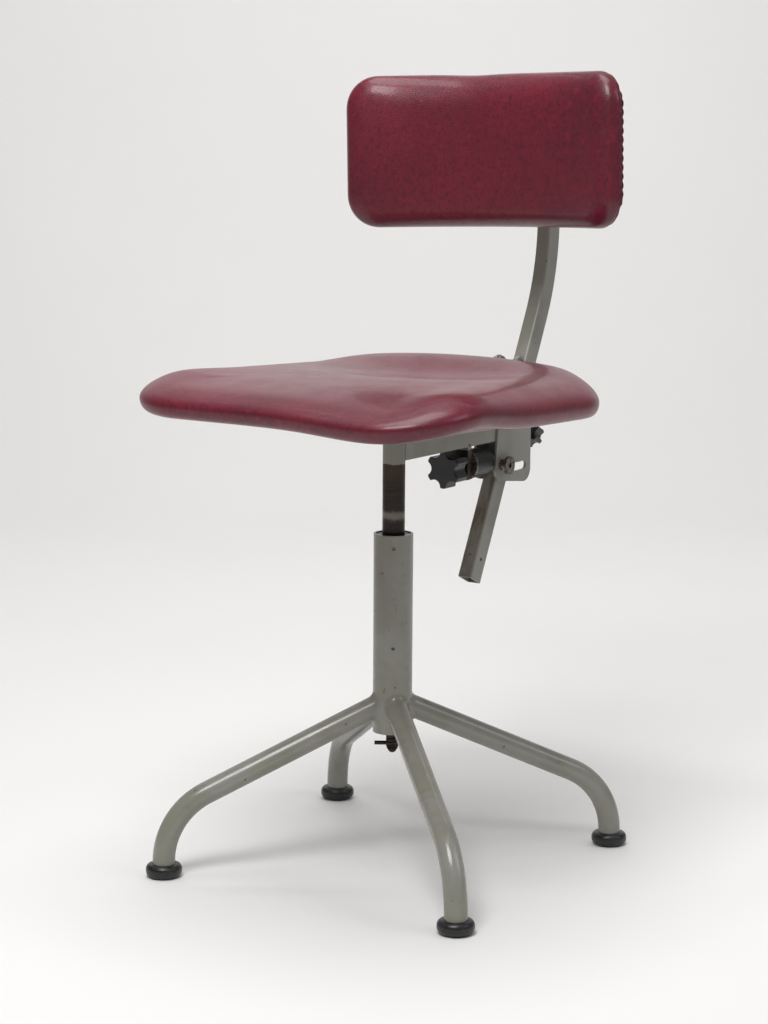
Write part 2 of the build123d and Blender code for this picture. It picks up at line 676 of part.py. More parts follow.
# Back board: a shell bent to the back's curve, with round corners
back_board_width = back_width - 2 * back_board_inset
back_board_height = back_height - 2 * back_board_inset
board_outline = RectangleRounded(back_board_width, back_board_height, back_corner_radius)
board_view = Plane(origin=(0, back_curve_y, back_middle_z), x_dir=(1, 0, 0), z_dir=(0, 1, 0))
back_board = extrude(board_view * board_outline, board_rear_radius + weld_gap)
back_axis_foot = (0, back_curve_y, back_bottom_z)
back_axis_top = (0, back_curve_y, back_bottom_z + back_height)
back_board &= rod(2 * board_rear_radius, back_axis_foot, back_axis_top)
back_board -= rod(2 * back_rear_radius, back_axis_foot, back_axis_top)

# Bracket: a web on the board and two walls that take the bar between them
board_rear_y = back_curve_y + board_rear_radius
wall_inner_x = bar_width / 2 + weld_gap
wall_outer_x = wall_inner_x + bracket_wall
wall_end_y = upright_y + bar_depth / 2
web_back_y = board_rear_y + bracket_wall
web = Pos(0, web_back_y, bracket_foot_z) * Box(
    bracket_width,
    2 * bracket_wall,
    bracket_height,
    align=(Align.CENTER, Align.MAX, Align.MIN),
)
bracket = web - rod(2 * (board_rear_radius + weld_gap), back_axis_foot, back_axis_top)
for side in (-1, 1):
    bracket += Pos(side * (wall_inner_x + wall_outer_x) / 2, web_back_y, bracket_foot_z) * Box(
        bracket_wall,
        wall_end_y - web_back_y,
        bracket_height,
        align=(Align.CENTER, Align.MIN, Align.MIN),
    )
bracket_bolts = []
bracket_nuts = []
head_x = wall_outer_x + bracket_head_height
for z in bolt_heights:
    bolt = cross_rod(bracket_bolt_d, upright_y, z, -head_x, wall_outer_x)
    bolt += hexagon_along_x(bracket_head_across_flats, upright_y, z, wall_outer_x, head_x)
    bore = cross_rod(bracket_bolt_d + 2 * weld_gap, upright_y, z, -head_x, wall_outer_x)
    nut_piece = hexagon_along_x(bracket_head_across_flats, upright_y, z, -wall_outer_x, -head_x)
    bracket -= bore
    bracket_bolts.append(bolt)
    bracket_nuts.append(nut_piece - bore)

# Screws through the bracket's web into the board
back_screws = []
screw_x = bracket_width / 2 - back_screw_inset
tip_y = board_rear_y - back_screw_bite
screw_head_y = web_back_y + back_screw_head_height
for x in (-screw_x, screw_x):
    for z in (bracket_foot_z + back_screw_inset, bracket_top_z - back_screw_inset):
        hole = rod(back_screw_d + 2 * weld_gap, (x, tip_y - weld_gap, z), (x, web_back_y, z))
        bracket -= hole
        back_board -= hole
        screw = rod(back_screw_d, (x, tip_y, z), (x, web_back_y, z))
        screw += rod(back_screw_head_d, (x, web_back_y, z), (x, screw_head_y, z))
        back_screws.append(screw)
write("back_board", back_board)
write("back_bracket", bracket)
write("bracket_bolts", Compound(bracket_bolts))
write("bracket_nuts", Compound(bracket_nuts))
write("back_screws", Compound(back_screws))

# Back pad: upright sections round the curve, thinner and lower towards the round ends
pad_rear_radius = back_rear_radius - slide_gap
pad_half_turn = math.asin(back_width / 2 / pad_rear_radius)
corner_turn = back_corner_radius / pad_rear_radius


def back_section(turn, fullness):
    """A crowned upright section at a turn round the curve; fullness is 1 away from the ends."""
    drop = back_corner_radius * (1 - fullness)
    thickness = back_pad_end_thickness
    thickness += (back_pad_thickness - back_pad_end_thickness) * fullness
    low = back_bottom_z + drop
    high = back_bottom_z + back_height - drop
    front = pad_rear_radius - thickness
    shoulder_r = front + back_pad_crown * thickness / back_pad_thickness
    waist = pad_rear_radius - thickness / 2
    view = Plane(
        origin=(0, back_curve_y, 0),
        x_dir=(math.sin(turn), math.cos(turn), 0),
        z_dir=(math.cos(turn), -math.sin(turn), 0),
    )
    rear_low = (pad_rear_radius, low + back_edge_rear)
    rear_high = (pad_rear_radius, high - back_edge_rear)
    front_high = (shoulder_r, high - back_edge_front)
    front_low = (shoulder_r, low + back_edge_front)
    edge = [
        Line(rear_low, rear_high),
        ThreePointArc(rear_high, (waist, high), front_high),
        ThreePointArc(front_high, (front, back_middle_z), front_low),
        ThreePointArc(front_low, (waist, low), rear_low),
    ]
    return view * make_face(edge)


# Turns of the sections on one half: even steps, then closer ones round the end
even_turn = (pad_half_turn - corner_turn) / back_even_sections
half_sections = [(i * even_turn, 1) for i in range(1, back_even_sections + 1)]
for angle in back_end_angles:
    step = math.sin(math.radians(angle))
    half_sections.append((pad_half_turn - corner_turn * (1 - step), math.sqrt(1 - step**2)))
back_sections = [back_section(-turn, fullness) for turn, fullness in reversed(half_sections)]
back_sections.append(back_section(0, 1))
back_sections += [back_section(turn, fullness) for turn, fullness in half_sections]
write("back_pad", loft(back_sections))
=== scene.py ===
import json
import logging
import math
from dataclasses import dataclass, replace
from enum import Enum
from typing import Any, Sequence

import bpy
import numpy as np
from mathutils import Matrix, Vector


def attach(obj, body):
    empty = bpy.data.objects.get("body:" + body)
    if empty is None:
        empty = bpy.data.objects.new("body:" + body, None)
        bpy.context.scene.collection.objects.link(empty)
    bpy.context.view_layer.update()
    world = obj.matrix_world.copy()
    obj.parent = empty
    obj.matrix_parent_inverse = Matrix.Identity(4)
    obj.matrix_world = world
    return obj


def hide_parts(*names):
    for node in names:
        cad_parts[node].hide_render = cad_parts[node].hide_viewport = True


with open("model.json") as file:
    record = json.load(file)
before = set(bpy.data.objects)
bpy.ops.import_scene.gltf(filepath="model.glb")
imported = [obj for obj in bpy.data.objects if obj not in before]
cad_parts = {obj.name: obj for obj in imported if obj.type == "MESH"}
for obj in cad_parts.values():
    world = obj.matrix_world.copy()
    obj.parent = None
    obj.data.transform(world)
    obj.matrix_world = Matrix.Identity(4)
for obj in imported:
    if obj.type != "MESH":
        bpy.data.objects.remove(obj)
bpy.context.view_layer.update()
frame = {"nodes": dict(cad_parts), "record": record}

LOG = logging.getLogger("drafting_chair")
MM = 0.001
CLOTH_FRAMES = 20
Socket = bpy.types.NodeSocket
Material = bpy.types.Material
Piece = bpy.types.Object


def linear(hex_code: str) -> tuple[float, float, float, float]:
    """Turns an sRGB hex colour into linear light.

    Args:
        hex_code: Colour such as "#7a2a3a".

    Returns:
        Red, green, blue and a full alpha.
    """
    shares = [int(hex_code[i:i + 2], 16) / 255 for i in (1, 3, 5)]
    light = [s / 12.92 if s <= 0.04045 else ((s + 0.055) / 1.055) ** 2.4 for s in shares]
    return light[0], light[1], light[2], 1.0


def add_node(
    tree: bpy.types.NodeTree,
    kind: str,
    settings: dict[str, Any] | None = None,
    inputs: dict[str | int, Any] | None = None,
) -> bpy.types.Node:
    """Adds a shader node with its settings and links.

    Args:
        tree: The material's or world's node tree.
        kind: Blender's node type.
        settings: Node properties by name.
        inputs: Input sockets by name or place; an output socket is linked, anything else is a value.

    Returns:
        The new node.
    """
    node = tree.nodes.new(kind)
    for name, value in (settings or {}).items():
        setattr(node, name, value)
    for key, value in (inputs or {}).items():
        if isinstance(value, Socket):
            tree.links.new(value, node.inputs[key])
        else:
            node.inputs[key].default_value = value
    return node


def per_mm(size_mm: float) -> float:
    """Texture scale whose pattern repeats about every size_mm."""
    return 1.0 / (size_mm * MM)


class Coating:
    """One material's node tree, with the pieces most finishes share."""

    def __init__(self, name: str) -> None:
        """Starts an empty material.

        Args:
            name: The material's name.
        """
        self.material = bpy.data.materials.new(name)
        self.material.use_nodes = True
        self.tree = self.material.node_tree
        self.tree.nodes.clear()
        place = add_node(self.tree, "ShaderNodeTexCoord")
        self.place = place.outputs["Object"]

    def noise(self, size_mm: float, detail: float = 3.0, stretch: Sequence[float] = (1, 1, 1)) -> Socket:
        """Cloudy pattern of a real size.

        Args:
            size_mm: Size of a patch.
            detail: Octaves of finer pattern.
            stretch: Scale along X, Y and Z before the pattern is read.

        Returns:
            The pattern's value, about 0.3 to 0.7.
        """
        where = add_node(self.tree, "ShaderNodeMapping", inputs={"Vector": self.place, "Scale": stretch})
        cloud = add_node(
            self.tree, "ShaderNodeTexNoise",
            inputs={
                "Vector": where.outputs[0], "Scale": per_mm(size_mm), "Detail": detail, "Roughness": 0.55,
            },
        )
        return cloud.outputs["Fac"]

    def step(self, value: Socket, low: float, high: float, first: float = 0.0, last: float = 1.0) -> Socket:
        """Smooth step of a value.

        Args:
            value: What is stepped.
            low: Value where the step starts.
            high: Value where the step ends.
            first: Result at the start.
            last: Result at the end.

        Returns:
            The stepped value.
        """
        made = add_node(
            self.tree, "ShaderNodeMapRange", {"interpolation_type": "SMOOTHSTEP"},
            {"Value": value, "From Min": low, "From Max": high, "To Min": first, "To Max": last},
        )
        return made.outputs[0]

    def maths(self, operation: str, a: Any, b: Any) -> Socket:
        """Arithmetic on two values.

        Args:
            operation: Blender's name for it, such as "MULTIPLY".
            a: First value or socket.
            b: Second value or socket.

        Returns:
            The result.
        """
        return add_node(self.tree, "ShaderNodeMath", {"operation": operation}, {0: a, 1: b}).outputs[0]

    def blend(self, share: Any, first: Any, second: Any) -> Socket:
        """Mixes two colours.

        Args:
            share: How much of the second colour shows.
            first: Hex colour or socket.
            second: Hex colour or socket.

        Returns:
            The mixed colour.
        """
        ends = [linear(c) if isinstance(c, str) else c for c in (first, second)]
        made = add_node(self.tree, "ShaderNodeMix", {"data_type": "RGBA"}, {0: share, 6: ends[0], 7: ends[1]})
        return made.outputs[2]

    def relief(self, height: Socket, depth_mm: float, normal: Socket | None = None) -> Socket:
        """Fine relief from a height pattern.

        Args:
            height: Pattern from 0 to 1.
            depth_mm: Depth of the relief.
            normal: Normal that it adds to, if any.

        Returns:
            The bent normal.
        """
        inputs = {"Height": height, "Distance": depth_mm * MM, "Strength": 1.0}
        if normal is not None:
            inputs["Normal"] = normal
        return add_node(self.tree, "ShaderNodeBump", inputs=inputs).outputs[0]

    def soft_edges(self, radius_mm: float) -> Socket:
        """Normal that rounds hard edges, as paint and use do."""
        return add_node(self.tree, "ShaderNodeBevel", {"samples": 4}, {"Radius": radius_mm * MM}).outputs[0]

    def finish(self, **sockets: Any) -> Material:
        """Closes the material with its shader.

        Args:
            **sockets: Shader inputs, with underscores for the spaces in their names.

        Returns:
            The finished material.
        """
        inputs = {name.replace("_", " "): value for name, value in sockets.items()}
        shader = add_node(self.tree, "ShaderNodeBsdfPrincipled", inputs=inputs)
        add_node(self.tree, "ShaderNodeOutputMaterial", inputs={"Surface": shader.outputs[0]})
        return self.material


@dataclass(frozen=True)
class StovedEnamel:
    """Grey-green enamel baked on steel tube: even, glossy, with small chips down to brown steel."""

    name: str = "stoved_enamel"
    paint: str = "#8e8d84"
    paint_deep: str = "#868579"
    chip: str = "#4c4137"
    grime: str = "#6b6459"
    roughness: float = 0.21
    peel_mm: float = 2.2
    chip_mm: float = 7.0
    patch_mm: float = 60.0
    edge_mm: float = 0.7

    def make(self) -> Material:
        """Builds the enamel."""
        c = Coating(self.name)
        tone = c.blend(c.step(c.noise(self.patch_mm), 0.4, 0.62), self.paint, self.paint_deep)
        dirt = c.maths("MULTIPLY", c.step(c.noise(18.0, 6.0), 0.58, 0.76), 0.3)
        tone = c.blend(dirt, tone, self.grime)
        used_part = c.step(c.noise(90.0), 0.5, 0.56)
        chips = c.maths("MULTIPLY", c.step(c.noise(self.chip_mm, 2.0), 0.7, 0.72), used_part)
        tone = c.blend(chips, tone, self.chip)
        gloss = c.step(c.noise(25.0, 5.0), 0.35, 0.7, self.roughness - 0.04, self.roughness + 0.06)
        rough = c.maths("ADD", gloss, c.maths("MULTIPLY", chips, 0.35))
        normal = c.relief(c.noise(self.peel_mm, 1.0), 0.008, c.soft_edges(self.edge_mm))
        return c.finish(Base_Color=tone, Roughness=rough, Normal=normal, IOR=1.52)


@dataclass(frozen=True)
class RubbedEnamel:
    """The same enamel on the back bar, rubbed brown where the guide and clamp have run on it."""

    name: str = "rubbed_enamel"
    paint: str = "#8f8e84"
    paint_deep: str = "#807f75"
    rub: str = "#6b5a4a"
    chip: str = "#3b3027"
    rub_top_z: float = 440.0
    roughness: float = 0.3

    def make(self) -> Material:
        """Builds the rubbed enamel."""
        c = Coating(self.name)
        tone = c.blend(c.step(c.noise(70.0), 0.4, 0.62), self.paint, self.paint_deep)
        side = add_node(c.tree, "ShaderNodeSeparateXYZ", inputs={"Vector": c.place})
        across = c.maths("ABSOLUTE", side.outputs["X"], 0.0)
        low_end = c.step(side.outputs["Z"], self.rub_top_z * MM, (self.rub_top_z + 60) * MM, 1.0, 0.12)
        on_face = c.maths("MULTIPLY", c.step(across, 0.0066, 0.0086, 1.0, 0.0), low_end)
        streak = c.step(c.noise(9.0, 4.0, (1.0, 0.25, 0.25)), 0.36, 0.6)
        cloud = c.step(c.noise(55.0, 3.0), 0.36, 0.56)
        rubbed = c.maths("MULTIPLY", c.maths("MULTIPLY", streak, cloud), on_face)
        tone = c.blend(c.maths("MULTIPLY", rubbed, 0.8), tone, self.rub)
        chips = c.maths("MULTIPLY", c.step(c.noise(6.0, 2.0), 0.72, 0.74), c.step(c.noise(80.0), 0.5, 0.56))
        tone = c.blend(chips, tone, self.chip)
        rough = c.maths("ADD", c.maths("MULTIPLY", rubbed, 0.22), self.roughness)
        normal = c.relief(chips, -0.12, c.soft_edges(0.5))
        return c.finish(Base_Color=tone, Roughness=rough, Normal=normal, IOR=1.52)


@dataclass(frozen=True)
class OiledSpindleSteel:
    """Turned bar steel, near black with old oil, with bright rub rings and enamel on its top end."""

    name: str = "oiled_spindle_steel"
    oil: str = "#39332f"
    steel: str = "#5d5751"
    rust: str = "#4d4037"
    paint: str = "#86857b"
    paint_foot_z: float = 453.0
    rub_ring_z: float = 396.0
    thread_top_z: float = 262.0
    thread_pitch_mm: float = 4.0

    def make(self) -> Material:
        """Builds the spindle's steel, its rub ring, its screw tail and its painted end."""
        c = Coating(self.name)
        axes = add_node(c.tree, "ShaderNodeSeparateXYZ", inputs={"Vector": c.place})
        height = axes.outputs["Z"]
        wobble = c.maths("MULTIPLY", c.maths("SUBTRACT", c.noise(7.0, 4.0), 0.5), 0.006)
        level = c.maths("ADD", height, wobble)
        rings = c.noise(1.2, 2.0, (0.05, 0.05, 1.0))
        tone = c.blend(c.maths("MULTIPLY", c.step(rings, 0.5, 0.75), 0.25), self.oil, self.steel)
        near_ring = c.maths("ABSOLUTE", c.maths("SUBTRACT", level, self.rub_ring_z * MM), 0.0)
        tone = c.blend(c.step(near_ring, 0.001, 0.007, 0.7, 0.0), tone, "#8a857b")
        rust_top = c.step(level, (self.paint_foot_z - 30) * MM, (self.paint_foot_z - 4) * MM, 0.0, 0.8)
        tone = c.blend(rust_top, tone, self.rust)
        painted = c.step(level, (self.paint_foot_z - 0.6) * MM, (self.paint_foot_z + 0.6) * MM)
        tone = c.blend(painted, tone, self.paint)
        turn = c.maths("ARCTAN2", axes.outputs["Y"], axes.outputs["X"])
        rise = c.maths("DIVIDE", height, self.thread_pitch_mm * MM)
        helix = c.maths("SUBTRACT", rise, c.maths("DIVIDE", turn, 2 * math.pi))
        thread = c.maths("PINGPONG", helix, 0.5)
        on_tail = c.step(height, self.thread_top_z * MM, (self.thread_top_z + 0.5) * MM, 1.0, 0.0)
        normal = c.relief(c.maths("MULTIPLY", thread, on_tail), 2.0)
        normal = c.relief(rings, 0.01, normal)
        metal = c.step(painted, 0.4, 0.6, 0.85, 0.0)
        rough = c.step(c.noise(12.0), 0.35, 0.65, 0.3, 0.46)
        return c.finish(Base_Color=tone, Metallic=metal, Roughness=rough, Normal=normal)


@dataclass(frozen=True)
class DullZincSteel:
    """Zinc-plated fasteners gone dull, with brown rust in patches."""

    name: str = "dull_zinc_steel"
    zinc: str = "#8a847a"
    zinc_deep: str = "#6d675e"
    rust: str = "#54382a"
    roughness: float = 0.42

    def make(self) -> Material:
        """Builds the plated steel."""
        c = Coating(self.name)
        tone = c.blend(c.step(c.noise(5.0, 4.0), 0.4, 0.62), self.zinc, self.zinc_deep)
        rust = c.step(c.noise(4.0, 5.0), 0.5, 0.62)
        tone = c.blend(rust, tone, self.rust)
        metal = c.maths("SUBTRACT", 1.0, c.maths("MULTIPLY", rust, 0.8))
        rough = c.maths("ADD", c.maths("MULTIPLY", rust, 0.3), self.roughness)
        normal = c.relief(c.noise(1.0, 3.0), 0.03, c.soft_edges(0.35))
        return c.finish(Base_Color=tone, Metallic=metal, Roughness=rough, Normal=normal)


@dataclass(frozen=True)
class TurnedBrass:
    """Turned bearing brass, brown with age, with fine tool rings."""

    name: str = "turned_brass"
    bright: str = "#a5864a"
    aged: str = "#6f5a33"

    def make(self) -> Material:
        """Builds the brass."""
        c = Coating(self.name)
        tone = c.blend(c.step(c.noise(9.0, 4.0), 0.38, 0.62), self.bright, self.aged)
        normal = c.relief(c.noise(0.8, 2.0, (0.05, 0.05, 1.0)), 0.01)
        rough = c.step(c.noise(6.0), 0.3, 0.7, 0.3, 0.45)
        return c.finish(Base_Color=tone, Metallic=1.0, Roughness=rough, Normal=normal)


@dataclass(frozen=True)
class EmbossedVinyl:
    """Oxblood vinyl cloth with an embossed hide grain: mottled, with a soft gloss on the turns."""

    name: str = "embossed_vinyl"
    red: str = "#721e2f"
    deep: str = "#40101b"
    warm: str = "#82203a"
    roughness: float = 0.35
    grain_mm: float = 2.8  # drawn about three times as coarse as real hide grain, to show in the render
    mottle_mm: float = 5.0
    fleck_mm: float = 9.0
    cloud_mm: float = 120.0

    def make(self) -> Material:
        """Builds the vinyl."""
        c = Coating(self.name)
        tone = c.blend(c.step(c.noise(self.cloud_mm, 4.0), 0.3, 0.7, 0.0, 0.45), self.red, self.deep)
        tone = c.blend(c.step(c.noise(self.mottle_mm, 5.0), 0.46, 0.7, 0.0, 0.5), tone, self.deep)
        tone = c.blend(c.step(c.noise(self.fleck_mm, 3.0), 0.52, 0.72, 0.0, 0.45), tone, self.warm)
        cells = add_node(
            c.tree, "ShaderNodeTexVoronoi", {"feature": "DISTANCE_TO_EDGE"},
            {"Vector": c.place, "Scale": per_mm(self.grain_mm), "Randomness": 0.9},
        )
        grain = c.step(cells.outputs["Distance"], 0.0, 0.22)
        tone = c.blend(c.step(cells.outputs["Distance"], 0.0, 0.16, 0.35, 0.0), tone, self.deep)
        rough = c.step(c.noise(30.0, 5.0), 0.3, 0.7, self.roughness - 0.02, self.roughness + 0.03)
        normal = c.relief(grain, 0.07)
        normal = c.relief(c.noise(22.0, 2.0), 0.04, normal)
        return c.finish(
            Base_Color=tone, Roughness=rough, Normal=normal, IOR=1.5,
            Coat_Weight=0.22, Coat_Roughness=0.12, Specular_IOR_Level=0.4,
        )


@dataclass(frozen=True)
class MouldedRubber:
    """Black moulded rubber: matt, greyed by dust and scuffed."""

    name: str = "moulded_rubber"
    black: str = "#161618"
    dust: str = "#363431"
    roughness: float = 0.45

    def make(self) -> Material:
        """Builds the rubber."""
        c = Coating(self.name)
        dusty = c.maths("MULTIPLY", c.step(c.noise(11.0, 6.0), 0.48, 0.72), 0.6)
        tone = c.blend(dusty, self.black, self.dust)
        rough = c.maths("ADD", c.maths("MULTIPLY", dusty, 0.3), self.roughness - 0.1)
        normal = c.relief(c.noise(0.9, 3.0), 0.04, c.soft_edges(0.6))
        return c.finish(Base_Color=tone, Roughness=rough, Normal=normal, IOR=1.52)


@dataclass(frozen=True)
class MouldedPhenolic:
    """Black moulded phenolic hand knobs: a worn gloss with fine scratches."""

    name: str = "moulded_phenolic"
    black: str = "#141416"
    worn: str = "#262521"
    roughness: float = 0.34

    def make(self) -> Material:
        """Builds the phenolic."""
        c = Coating(self.name)
        worn = c.maths("MULTIPLY", c.step(c.noise(8.0, 5.0), 0.5, 0.7), 0.6)
        tone = c.blend(worn, self.black, self.worn)
        rough = c.maths("ADD", c.maths("MULTIPLY", worn, 0.3), self.roughness)
        normal = c.relief(c.noise(1.4, 3.0), 0.02, c.soft_edges(0.9))
        return c.finish(Base_Color=tone, Roughness=rough, Normal=normal, IOR=1.6)


@dataclass(frozen=True)
class SandedPlywood:
    """Sanded birch plywood: pale face veneer with a straight, faint grain."""

    name: str = "sanded_plywood"
    pale: str = "#a5855f"
    dark: str = "#8a6a48"
    roughness: float = 0.6

    def make(self) -> Material:
        """Builds the plywood."""
        c = Coating(self.name)
        grain = c.noise(3.0, 3.0, (0.015, 1.0, 1.0))
        tone = c.blend(c.step(grain, 0.3, 0.75), self.pale, self.dark)
        normal = c.relief(grain, 0.03)
        return c.finish(Base_Color=tone, Roughness=self.roughness, Normal=normal, IOR=1.5)


class Slot(Enum):
    """The record's material slots and the finish that each one gets."""

    grey_enamel = StovedEnamel()
    dark_oiled_steel = OiledSpindleSteel()
    dull_zinc_steel = DullZincSteel()
    bearing_brass = TurnedBrass()
    oxblood_vinyl = EmbossedVinyl()
    plywood = SandedPlywood()
    black_rubber = MouldedRubber()
    black_phenolic = MouldedPhenolic()


class Paintshop:
    """Makes each finish once and hands it out."""

    def __init__(self) -> None:
        """Starts with no finish made."""
        self.made: dict[str, Material] = {}

    def get(self, finish: Any) -> Material:
        """A finish's material, made on first use.

        Args:
            finish: One of the finish classes.

        Returns:
            Its material.
        """
        if finish.name not in self.made:
            self.made[finish.name] = finish.make()
        return self.made[finish.name]


def add_piece(
    name: str,
    points: np.ndarray,
    faces: Sequence[Sequence[int]],
    body: str,
    slot: Slot,
    shop: Paintshop,
) -> Piece:
    """Adds a smooth mesh piece that rides on a body.

    Args:
        name: Piece name.
        points: Vertices in millimetres, in the chair's frame.
        faces: Vertex numbers of each face.
        body: The body that it moves with.
        slot: The material slot it takes its finish from.
        shop: Where its material comes from.

    Returns:
        The new object.
    """
    mesh = bpy.data.meshes.new(name)
    mesh.from_pydata((np.asarray(points, float) * MM).tolist(), [], [list(f) for f in faces])
    mesh.polygons.foreach_set("use_smooth", [True] * len(mesh.polygons))
    mesh.update()
    piece = bpy.data.objects.new(name, mesh)
    bpy.context.scene.collection.objects.link(piece)
    mesh.materials.append(shop.get(slot.value))
    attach(piece, body)
    return piece


def skin(
    rings: Sequence[np.ndarray], first_fold: int | None = None, last_fold: int | None = None
) -> tuple[np.ndarray, list[list[int]]]:
    """Quads between closed rings of equal count.

    Args:
        rings: Rings of points, each turning the same way.
        first_fold: Closes the first ring across; points whose numbers add up to this face each other.
        last_fold: The same for the last ring.

    Returns:
        The points and the faces.
    """
    count = len(rings[0])
    faces: list[list[int]] = []
    for k in range(len(rings) - 1):
        low, high = k * count, (k + 1) * count
        for i in range(count):
            j = (i + 1) % count
            faces.append([low + i, low + j, high + j, high + i])
    for start, fold, way in ((0, first_fold, -1), ((len(rings) - 1) * count, last_fold, 1)):
        if fold is None:
            continue
        first = (fold + 1) // 2
        for i in range(first, first + count // 2 - 1):
            quad = [start + n % count for n in (i, i + 1, fold - i - 1, fold - i)]
            faces.append(quad[::way])
    return np.concatenate([np.asarray(r, float) for r in rings]), faces


def rounded_outline(
    corners: Sequence[tuple[float, float, float]], corner_steps: int, side_steps: Sequence[int]
) -> np.ndarray:
    """A closed line with round corners, always with the same number of points.

    Args:
        corners: X, Y and corner radius, counter-clockwise.
        corner_steps: Points on each corner.
        side_steps: Points between the corners, on the side after each.

    Returns:
        The line's points.
    """
    count = len(corners)
    arcs = []
    for i in range(count):
        here = np.array(corners[i][:2])
        back = np.array(corners[i - 1][:2]) - here
        on = np.array(corners[(i + 1) % count][:2]) - here
        back, on = back / np.linalg.norm(back), on / np.linalg.norm(on)
        half = math.acos(float(np.clip(back @ on, -1, 1))) / 2
        radius = corners[i][2]
        middle = here + (back + on) / np.linalg.norm(back + on) * radius / math.sin(half)
        start = here + back * radius / math.tan(half) - middle
        turn = np.linspace(0, math.pi - 2 * half, corner_steps)
        arcs.append(np.stack([
            middle[0] + start[0] * np.cos(turn) - start[1] * np.sin(turn),
            middle[1] + start[0] * np.sin(turn) + start[1] * np.cos(turn),
        ], 1))
    line = []
    for i in range(count):
        line.append(arcs[i])
        share = np.linspace(0, 1, side_steps[i] + 2)[1:-1, None]
        line.append(arcs[i][-1] * (1 - share) + arcs[(i + 1) % count][0] * share)
    return np.concatenate(line)


def smooth(value: Any, low: float, high: float) -> Any:
    """Smooth step from 0 at low to 1 at high."""
    share = np.clip((value - low) / (high - low), 0, 1)
    return share * share * (3 - 2 * share)


def spaced(line: np.ndarray, pitch: float) -> np.ndarray:
    """Points at an even pitch along a closed line.

    Args:
        line: The line's points.
        pitch: Distance between the new points.

    Returns:
        The new points.
    """
    closed = np.vstack([line, line[:1]])
    along = np.concatenate([[0], np.cumsum(np.linalg.norm(np.diff(closed, axis=0), axis=1))])
    wanted = np.linspace(0, along[-1], round(along[-1] / pitch), endpoint=False)
    return np.stack([np.interp(wanted, along, closed[:, k]) for k in range(closed.shape[1])], 1)


def fill_out(
    piece: Piece, held: np.ndarray, pressure: float, cap_mm: float, spread: int = 240
) -> None:
    """Fills a pad's cover by a short cloth run and keeps the result.

    Args:
        piece: The cover, a closed mesh.
        held: How firmly each vertex is held, 0 to 1.
        pressure: Pressure of the filling.
        cap_mm: The most that a point may move.
        spread: Rounds of evening out, so that the cover swells smoothly and keeps no buckle.
    """
    scene = bpy.context.scene
    group = piece.vertex_groups.new(name="held")
    for i, weight in enumerate(held):
        group.add([i], float(weight), "REPLACE")
    start = np.array([v.co for v in piece.data.vertices])
    cloth = piece.modifiers.new("filling", "CLOTH")
    cloth.settings.use_pressure = True
    cloth.settings.uniform_pressure_force = pressure
    cloth.settings.vertex_group_mass = "held"
    cloth.settings.effector_weights.gravity = 0.0
    cloth.point_cache.frame_start = 1
    cloth.point_cache.frame_end = CLOTH_FRAMES
    for step in range(1, CLOTH_FRAMES + 1):
        scene.frame_set(step)
    seen = piece.evaluated_get(bpy.context.evaluated_depsgraph_get()).data
    moved = np.array([v.co for v in seen.vertices]) - start
    piece.modifiers.remove(cloth)
    piece.vertex_groups.remove(group)
    scene.frame_set(1)
    ends = np.array([e.vertices[:] for e in piece.data.edges])
    near = np.bincount(ends.ravel(), minlength=len(start))[:, None]
    for _ in range(spread):
        total = np.zeros_like(moved)
        np.add.at(total, ends[:, 0], moved[ends[:, 1]])
        np.add.at(total, ends[:, 1], moved[ends[:, 0]])
        moved = (moved + total / near) / 2 * (1 - 0.5 * held[:, None])
    length = np.linalg.norm(moved, axis=1, keepdims=True)
    keep = cap_mm * MM * np.tanh(length / (cap_mm * MM)) / np.maximum(length, 1e-9)
    piece.data.vertices.foreach_set("co", (start + moved * keep).astype(np.float32).ravel())
    piece.data.update()


def add_tacks(
    name: str, places: np.ndarray, ways: np.ndarray, body: str, shop: Paintshop, radius: float, height: float
) -> Piece:
    """Domed tack heads, one mesh.

    Args:
        name: Piece name.
        places: Centres of the heads' feet.
        ways: Unit directions that the heads face.
        body: The body that they move with.
        shop: Where their material comes from.
        radius: Head radius.
        height: Head height.

    Returns:
        The new object.
    """
    points, faces = [], []
    turn = np.linspace(0, 2 * math.pi, 10, endpoint=False)
    for place, way in zip(places, ways):
        side = np.cross(way, (0.0, 0.0, 1.0) if abs(way[2]) < 0.9 else (1.0, 0.0, 0.0))
        side /= np.linalg.norm(side)
        circle = np.outer(np.cos(turn), side) + np.outer(np.sin(turn), np.cross(way, side))
        rings = []
        for angle in (0.0, 35.0, 65.0):
            reach, rise = radius * math.cos(math.radians(angle)), height * math.sin(math.radians(angle))
            rings.append(place + way * rise + reach * circle)
        found, made = skin(rings, len(turn) - 1, len(turn) - 1)
        start = sum(len(p) for p in points)
        points.append(found)
        faces += [[start + i for i in f] for f in made]
    return add_piece(name, np.concatenate(points), faces, body, Slot.dull_zinc_steel, shop)


